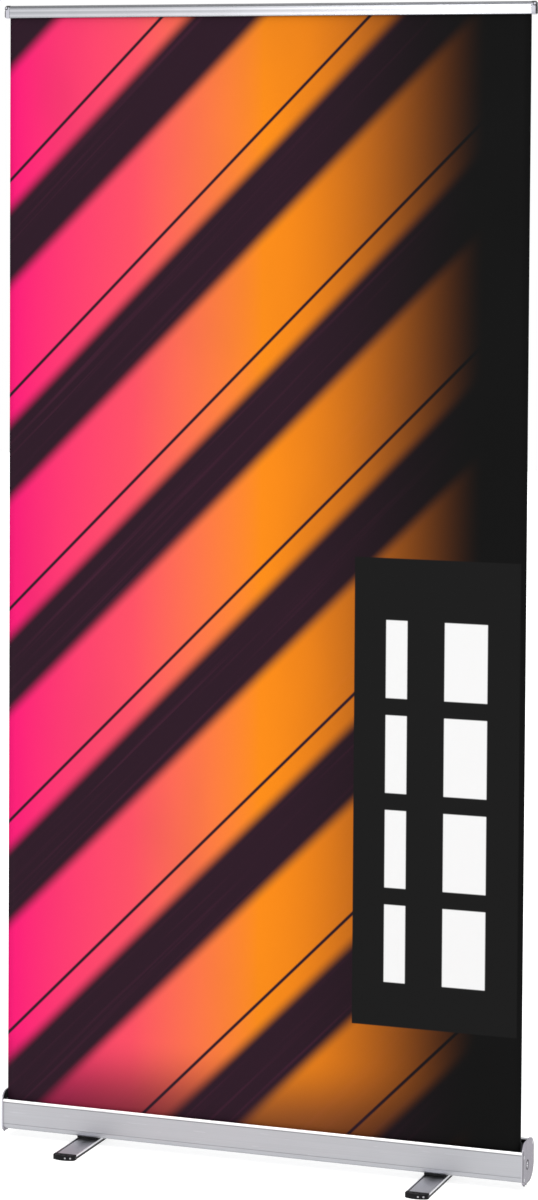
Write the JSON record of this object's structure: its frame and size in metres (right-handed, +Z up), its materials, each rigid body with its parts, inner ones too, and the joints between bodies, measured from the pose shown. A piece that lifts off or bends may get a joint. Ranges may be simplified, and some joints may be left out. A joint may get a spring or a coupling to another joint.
{
  "type": "roll-up banner stand",
  "caption": "Retractable banner stand: spring roller cassette on swivelling feet, tall printed graphic, clamping top rail and sectional pole behind.",
  "frame": {"origin": "on the floor, under the middle of the base", "axes": "+Z up, +X along the base to the viewer's right when facing the picture, +Y backwards; the picture faces -Y"},
  "size_m": [1.02, 0.284, 2.1204],
  "materials": {
    "anodised_aluminium": "satin clear anodised",
    "pole_aluminium": "satin clear anodised",
    "grey_plastic": "fine moulded texture",
    "light_plastic": "moulded, lightly glossy",
    "black_plastic": "fine moulded texture",
    "white_plastic": "moulded, unpainted",
    "zinc_steel": "bright zinc plated",
    "spring_steel": "oiled wire",
    "rubber": "matt",
    "elastic_cord": "braided cover",
    "printed_film": "satin printed film",
    "leader_film": "satin film"
  },
  "bodies": {
    "base": {"cassette_housing": "anodised_aluminium", "end_cap_left": "grey_plastic", "end_cap_right": "grey_plastic", "end_cap_screws_left": "zinc_steel", "end_cap_screws_right": "zinc_steel", "idle_axle": "zinc_steel", "spring_shaft": "zinc_steel", "torsion_spring": "spring_steel", "pole_socket": "black_plastic", "pole_socket_screws": "zinc_steel", "foot_pivot_spacer_left": "black_plastic", "foot_pivot_spacer_right": "black_plastic", "foot_pivot_bolt_left": "zinc_steel", "foot_pivot_bolt_right": "zinc_steel", "foot_pivot_plate_left": "zinc_steel", "foot_pivot_plate_right": "zinc_steel", "foot_pivot_nut_left": "zinc_steel", "foot_pivot_nut_right": "zinc_steel", "graphic_sheet": "printed_film"},
    "roller": {"roller_tube": "pole_aluminium", "roller_end_plug_left": "white_plastic", "roller_end_plug_right": "white_plastic", "spring_anchor": "white_plastic", "leader_roll": "leader_film"},
    "foot_left": {"foot_profile_left": "anodised_aluminium", "foot_plug_left_front": "black_plastic", "foot_plug_left_rear": "black_plastic"},
    "foot_right": {"foot_profile_right": "anodised_aluminium", "foot_plug_right_front": "black_plastic", "foot_plug_right_rear": "black_plastic"},
    "top_rail": {"rail_rear_profile": "anodised_aluminium", "rail_end_cap_left": "light_plastic", "rail_end_cap_right": "light_plastic"},
    "clamp_jaw": {"rail_front_jaw": "anodised_aluminium", "jaw_gasket": "rubber"},
    "pole_bottom": {"pole_bottom_tube": "pole_aluminium", "pole_lower_ferrule": "zinc_steel", "pole_foot_plug": "black_plastic", "pole_elastic_cord": "elastic_cord"},
    "pole_middle": {"pole_middle_tube": "pole_aluminium", "pole_upper_ferrule": "zinc_steel"},
    "pole_top": {"pole_top_tube": "pole_aluminium", "pole_head": "black_plastic", "pole_head_grip_pad": "rubber"}
  },
  "joints": [
    {"name": "foot_left_swivel", "type": "hinge", "parent": "base", "child": "foot_left", "pos_m": [-0.339, 0, 0.0063], "axis": [0, 0, 1], "range_deg": [0, 90]},
    {"name": "foot_right_swivel", "type": "hinge", "parent": "base", "child": "foot_right", "pos_m": [0.339, 0, 0.0063], "axis": [0, 0, 1], "range_deg": [-90, 0]},
    {"name": "rail_lower", "type": "slide", "parent": "base", "child": "top_rail", "axis": [0, 0, -1], "range_m": [0, 2.008], "deforming": ["graphic_sheet"]},
    {"name": "roller_spin", "type": "hinge", "parent": "base", "child": "roller", "pos_m": [0, -0.00937, 0.044], "axis": [1, 0, 0], "range_deg": [0, 6800]},
    {"name": "jaw_open", "type": "hinge", "parent": "top_rail", "child": "clamp_jaw", "pos_m": [0, -0.0245, 2.115], "axis": [-1, 0, 0], "range_deg": [0, 75]},
    {"name": "pole_lift", "type": "slide", "parent": "base", "child": "pole_bottom", "axis": [0, -0.0116, 0.9999], "range_m": [0, 0.055]},
    {"name": "pole_middle_pull", "type": "slide", "parent": "pole_bottom", "child": "pole_middle", "axis": [0, -0.0116, 0.9999], "range_m": [0, 0.05], "deforming": ["pole_elastic_cord"]},
    {"name": "pole_top_pull", "type": "slide", "parent": "pole_middle", "child": "pole_top", "axis": [0, -0.0116, 0.9999], "range_m": [0, 0.05], "deforming": ["pole_elastic_cord"]}
  ],
  "couplings": [
    {"joint": "roller_spin", "follows": "rail_lower", "rad_per_m": 58.8}
  ]
}
